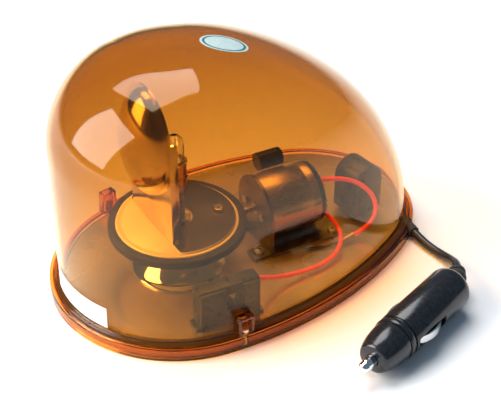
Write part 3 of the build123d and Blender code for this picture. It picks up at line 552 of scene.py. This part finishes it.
def plate_point(across, up):
    """Point of the bowl, from its middle out to its rim, and of the flat plate beyond."""
    turn = across * 2 * math.pi
    row = round(up * (BOWL_ROWS + PLATE_ROWS))
    rim = Vector((BOWL_W * math.cos(turn), BOWL_H * math.sin(turn)))
    if row <= BOWL_ROWS:
        bend = row / BOWL_ROWS * math.pi / 2
        flat = rim * math.sin(bend)
        depth = BOWL_DEPTH * math.cos(bend)
    else:
        share = (row - BOWL_ROWS) / PLATE_ROWS
        edge = plate_edge(math.atan2(rim.y, rim.x))
        flat = rim.lerp(edge, share)
        depth = -0.5 * math.exp(-((share * 9) ** 2))
    return Vector((PLATE_X - depth, PLATE_SHIFT + flat.x, BOWL_Z + flat.y)) * MM


def foot_point(across, up):
    """Point of the flat foot, round its spindle hole and cut straight at the fold."""
    turn = across * 2 * math.pi
    reach = FOOT_R
    if math.cos(turn) < 0:
        reach = min(reach, FOOT_BACK / -math.cos(turn))
    radius = FOOT_HOLE_R + (reach - FOOT_HOLE_R) * up
    return Vector((radius * math.cos(turn), radius * math.sin(turn), FOOT_Z)) * MM


def joined(*pieces):
    """Join pieces into the last one."""
    select_only(*pieces)
    bpy.ops.object.join()
    return pieces[-1]


mirror = bare_material("mirror_sheet", (0.8, 0.72, 0.6), 0.12, 1.0)
add_grain(mirror, 40, ((0.66, 0.58, 0.46), (0.86, 0.8, 0.7)), (0.08, 0.2), 0.01)
plate = shaped_grid("mirror_plate", 128, BOWL_ROWS + PLATE_ROWS, plate_point)
give_modifier(plate, "SOLIDIFY", thickness=MIRROR_T * MM, offset=0)
foot = shaped_grid("mirror_foot", 96, 6, foot_point)
give_modifier(foot, "SOLIDIFY", thickness=MIRROR_T * MM, offset=1)
near_edge = boxed("near_flange", *NEAR_FLANGE, 0.2)
far_edge = boxed("far_flange", *FAR_FLANGE, 0.2)
plate = joined(foot, near_edge, far_edge, plate)
plate.data.transform(beam_place)
smooth(plate, 30)
finish_piece(plate, mirror, "rotor", "mirror_sheet", "reflector")


# ---- Lamp ----
# Small halogen bayonet lamp in a brass holder on top of the fixed spindle: a plated cap, a clear
# quartz tube and a glowing filament.
def give_light(material, colour, strength):
    """Make a material shine in this colour."""
    shader = material.node_tree.nodes["Principled BSDF"]
    shader.inputs["Emission Color"].default_value = (*colour, 1)
    shader.inputs["Emission Strength"].default_value = strength


holder = turned("bayonet_holder", [
    (4.05, 53.0), (5.2, 53.0), (5.6, 53.5), (5.6, 60.0), (6.0, 60.3), (6.0, 61.2), (5.6, 61.5),
    (5.6, 68.0), (6.0, 68.4), (6.0, 69.0), (4.75, 69.0), (4.75, 59.5), (4.05, 59.5), (4.05, 53.0)],
    rotor_place, 48)
finish_piece(holder, brass, "base", "brass", "lamp_holder")
cap = turned("bayonet_cap", [
    (0, 61.0), (2.0, 61.0), (2.2, 62.0), (4.2, 62.2), (4.6, 62.8), (4.6, 69.4), (4.2, 70.0),
    (0, 70.0)], rotor_place, 48)
finish_piece(cap, zinc, "base", "bright_metal", "bulb_cap")
quartz = clear_material("quartz_glass", (0.97, 0.97, 0.97), (0.95, 0.95, 0.95), 0.01, 1.46)
bulb = turned("lamp_glass", [
    (3.2, 70.0), (4.7, 70.6), (4.7, 78.3), (4.45, 79.8), (3.7, 81.4), (2.4, 82.6), (1.0, 83.0),
    (0, 83.05), (0.9, 82.5), (2.2, 82.1), (3.3, 81.0), (3.95, 79.6), (4.15, 78.2), (4.15, 71.0),
    (3.2, 70.6), (3.2, 70.0)][::-1], rotor_place, 48, 60)
finish_piece(bulb, quartz, "base", "clear_glass", "bulb_glass")
glow = bare_material("filament_glow", (1.0, 0.75, 0.4), 0.4)
give_light(glow, (1.0, 0.72, 0.38), 60.0)
finish_nodes(glow, "bulb_filament")


# ---- Motor ----
# Squat drawn steel can with a crimped front, held by two screws to a folded bracket on the deck.
# A black moulding closes its rear, and a strap round the can holds the black capacitor.
MOTOR_ANGLE, MOTOR_Z = -8.5, 27.0
motor_place = (Matrix.Translation((AXIS_X * MM, 0, MOTOR_Z * MM))
               @ Matrix.Rotation(math.radians(MOTOR_ANGLE), 4, "Z")
               @ Matrix.Rotation(math.radians(90), 4, "Y"))
can_steel = add_grain(bare_material("can_steel", (0.62, 0.52, 0.36), 0.3, 1.0), 35,
                      ((0.5, 0.42, 0.3), (0.72, 0.62, 0.46)), (0.2, 0.36), 0.02, (1, 1, 6))
can = turned("motor_shell", [
    (1.6, 42.2), (3.0, 42.2), (3.0, 44.0), (13.6, 44.0), (15.0, 44.15), (15.9, 44.7), (16.25, 45.6),
    (16.25, 66.8), (16.1, 67.1), (16.1, 67.5), (16.25, 67.8), (16.25, 71.5), (15.3, 71.5),
    (15.3, 45.8), (1.6, 45.4), (1.6, 42.2)], motor_place, 96)
finish_piece(can, can_steel, "base", "motor_metal", "motor_can")
black_gloss = add_grain(bare_material("black_moulding", (0.02, 0.022, 0.026), 0.3), 420,
                        ((0.012, 0.014, 0.018), (0.03, 0.033, 0.038)), (0.22, 0.36), 0.03)
end_cap = turned("motor_cap", [
    (0, 77.0), (3.8, 77.0), (4.5, 76.6), (4.5, 75.5), (12.4, 75.5), (12.8, 75.0), (14.6, 74.8),
    (15.6, 74.2), (15.95, 73.2), (15.95, 71.6), (13.3, 71.6), (13.3, 71.8), (0, 71.8)],
    motor_place, 96)
finish_piece(end_cap, black_gloss, "base", "black_plastic", "motor_end_cap")
bracket_steel = add_grain(bare_material("bracket_steel", (0.3, 0.27, 0.22), 0.3, 1.0), 120,
                          ((0.22, 0.2, 0.17), (0.38, 0.34, 0.28)), (0.22, 0.4), 0.03)
finish_nodes(bracket_steel, "motor_bracket")
laminated = add_grain(bare_material("laminated_steel", (0.22, 0.2, 0.18), 0.4, 0.8), 260,
                      ((0.14, 0.13, 0.12), (0.3, 0.27, 0.24)), (0.3, 0.5), 0.05)
finish_nodes(laminated, "motor_armature")
finish_nodes(black_gloss, "capacitor")


# ---- Terminal block ----
# Black moulded block on the deck: two pillars joined by a bridge and a sill, with a round boss
# in its window and a brass screw in each pillar.
DECK_TOP, BLOCK_X, BLOCK_Y, BLOCK_ANGLE = 8.0, -41.2, -46.4, -10.5
block_place = (Matrix.Translation((BLOCK_X * MM, BLOCK_Y * MM, DECK_TOP * MM))
               @ Matrix.Rotation(math.radians(BLOCK_ANGLE), 4, "Z"))
block_parts = [
    boxed("block_left", (-15, -5.1, 0), (-2.5, 5.1, 20.5), 0.45),
    boxed("block_right", (6.5, -5.1, 0), (15, 5.1, 20.5), 0.45),
    boxed("block_bridge", (-4, -3.6, 16), (8, 5.1, 20.2), 0.35),
    boxed("block_sill", (-4, -4.6, 0), (8, 4.6, 6), 0.35),
    boxed("block_tongue", (-15.6, -3.4, 18.6), (15.6, 3.6, 21.3), 0.4),
    boxed("block_heel_left", (-17.2, -4.2, 0), (-14.5, 4.2, 1.6), 0.3),
    boxed("block_heel_right", (14.5, -4.2, 0), (17.2, 4.2, 1.6), 0.3)]
boss = turned("block_boss", [(0, -4.8), (2.4, -4.8), (2.8, -4.4), (2.8, 4.4), (2.4, 4.8), (0, 4.8)],
              Matrix.Translation((2 * MM, 0, 6.2 * MM)) @ Matrix.Rotation(math.radians(90), 4, "X"), 32)
terminal = joined(boss, *block_parts[1:], block_parts[0])
terminal.name = "terminal_moulding"
terminal.data.transform(block_place)
smooth(terminal, 30)
finish_piece(terminal, black_gloss, "base", "black_plastic", "terminal_block")


# ---- Inner wiring ----
# Two leads from the motor in red plastic sleeves with a faint painted glow, and a thin black
# lead, with the brass crimp that joins them.
LEAD_A = [(37.7, -18.1, 37.0), (45.5, -22.5, 37.6), (53.8, -28.8, 34.5), (57.8, -35.6, 28.0),
          (56.0, -39.4, 20.5), (50.5, -38.6, 14.0), (44.0, -37.0, 11.6)]
LEAD_B = [(37.9, -21.4, 19.0), (39.2, -28.5, 17.0), (36.0, -37.5, 13.6), (27.0, -43.6, 11.2),
          (15.5, -45.2, 10.6), (3.0, -43.6, 11.0), (-8.0, -42.6, 13.2), (-17.3, -44.2, 18.4),
          (-25.8, -46.2, 24.0)]
WIRE_R, THIN_WIRE_R = 1.15, 0.7
BLACK_LEAD = [(37.5, -35.3, 9.8), (31.0, -34.4, 9.2), (25.0, -31.9, 9.0), (19.5, -29.0, 8.9)]
glowing_sleeve = add_grain(bare_material("red_sleeve", (0.8, 0.05, 0.02), 0.35), 400,
                   ((0.7, 0.03, 0.015), (0.85, 0.07, 0.03)), (0.28, 0.42), 0.02)
# Painted glow: the sleeves shine faintly in red on their own, though they are no lamp.
give_light(glowing_sleeve, (0.9, 0.05, 0.02), 0.25)
finish_piece(wire_curve("red_lead_a", LEAD_A, WIRE_R, glowing_sleeve), glowing_sleeve, "base", "red_sleeve",
             "red_lead_long")
finish_piece(wire_curve("red_lead_b", LEAD_B, WIRE_R, glowing_sleeve), glowing_sleeve, "base", "red_sleeve",
             "red_lead_short")
finish_piece(wire_curve("thin_black_lead", BLACK_LEAD, THIN_WIRE_R, jacket), jacket, "base", "rubber",
             "black_lead")


# ---- Cord entry cover ----
# Arch-topped black moulding with rounded edges. It stands on the deck, over the joint between
# the cord and the inner leads.
COVER_X, COVER_Y, COVER_L, COVER_W, COVER_H = 62.5, -17.5, 18.0, 16.0, 30.0
SIDE_FROM = 4.0
cover_place = Matrix.Translation((COVER_X * MM, COVER_Y * MM, DECK_TOP * MM))
bpy.ops.object.select_all(action="DESELECT")
bpy.ops.mesh.primitive_cylinder_add(vertices=48, radius=COVER_L / 2 * MM, depth=COVER_W * MM,
                                    rotation=(math.radians(90), 0, 0),
                                    location=(0, 0, (COVER_H - COVER_L / 2) * MM))
cover = bpy.context.object
cover.name = "cord_cover"
bpy.ops.object.transform_apply(location=True, rotation=True, scale=True)
spring_z = (COVER_H - COVER_L / 2) * MM
for corner in cover.data.vertices:
    if corner.co.z < spring_z - 1e-6:
        if abs(corner.co.x) > SIDE_FROM * MM:
            corner.co.x = math.copysign(COVER_L / 2 * MM, corner.co.x)
        corner.co.z = (corner.co.z - spring_z) / (COVER_L / 2 * MM) * spring_z + spring_z
give_modifier(cover, "BEVEL", width=0.8 * MM, segments=3, limit_method="ANGLE")
cover.data.transform(cover_place)
smooth(cover, 35)
finish_piece(cover, black_gloss, "base", "black_plastic", "cord_entry_cover")


# ---- Plug ----
# Glossy black accessory plug: grooved hollow body with a slot each side, tapered screw-on nose,
# sprung metal tip, and the bowed side contacts of the CAD.
PLUG_X, PLUG_Y, PLUG_R, PLUG_ANGLE = 58.0, -95.7, 10.9, 194.5
plug_place = (Matrix.Translation((PLUG_X * MM, PLUG_Y * MM, PLUG_R * MM))
              @ Matrix.Rotation(math.radians(PLUG_ANGLE), 4, "Z")
              @ Matrix.Rotation(math.radians(90), 4, "Y"))
plug_gloss = add_grain(bare_material("plug_moulding", (0.012, 0.013, 0.016), 0.18), 500,
                       ((0.008, 0.009, 0.012), (0.018, 0.02, 0.024)), (0.13, 0.24), 0.015)
body_rings = [(3.4, 0.0), (6.4, 0.0), (8.2, 0.5), (9.6, 1.6), (10.5, 3.1), (10.9, 5.0), (10.9, 47.2),
              (10.7, 47.6), (10.0, 47.7), (9.9, 48.0), (9.9, 48.6), (10.0, 48.9), (10.7, 49.0),
              (10.9, 49.4), (10.9, 51.5), (10.6, 51.95), (8.6, 52.0), (8.6, 6.0), (3.4, 6.0), (3.4, 0)]
plug_body = turned("plug_barrel", body_rings, plug_place, 96)
slot_cutter = boxed("slot_cutter", (-2.3, -16, 24), (2.3, 16, 46), 0.6)
slot_cutter.data.transform(plug_place)
give_modifier(plug_body, "BOOLEAN", object=slot_cutter, operation="DIFFERENCE", solver="EXACT")
bpy.data.objects.remove(slot_cutter)
smooth(plug_body, 35)
finish_piece(plug_body, plug_gloss, "base", "plug_plastic", "plug_body")
nose = turned("plug_nose", [
    (8.4, 48.5), (8.4, 52.0), (9.9, 52.05), (10.3, 52.4), (10.4, 53.2), (10.3, 56.0), (9.9, 59.5),
    (9.3, 62.8), (8.5, 65.6), (7.9, 67.0), (7.4, 67.9), (6.6, 68.4), (3.2, 68.5), (3.2, 63.5),
    (6.6, 63.0), (6.6, 48.5), (8.4, 48.5)], plug_place, 96)
finish_piece(nose, plug_gloss, "base", "plug_plastic", "plug_nose_cap")
tip = turned("plug_pin", [
    (0, 60.7), (5.6, 60.7), (5.6, 62.9), (2.9, 62.95), (2.9, 73.2), (2.5, 73.7), (2.5, 74.0),
    (2.9, 74.5), (2.75, 75.6), (2.2, 76.5), (1.2, 77.05), (0, 77.2)], plug_place, 48)
finish_piece(tip, chrome, "plug_tip_set", "bright_metal", "plug_tip")
finish_nodes(chrome, "side_contact_left", "side_contact_right", "fuse_caps")
finish_nodes(quartz, "plug_fuse")
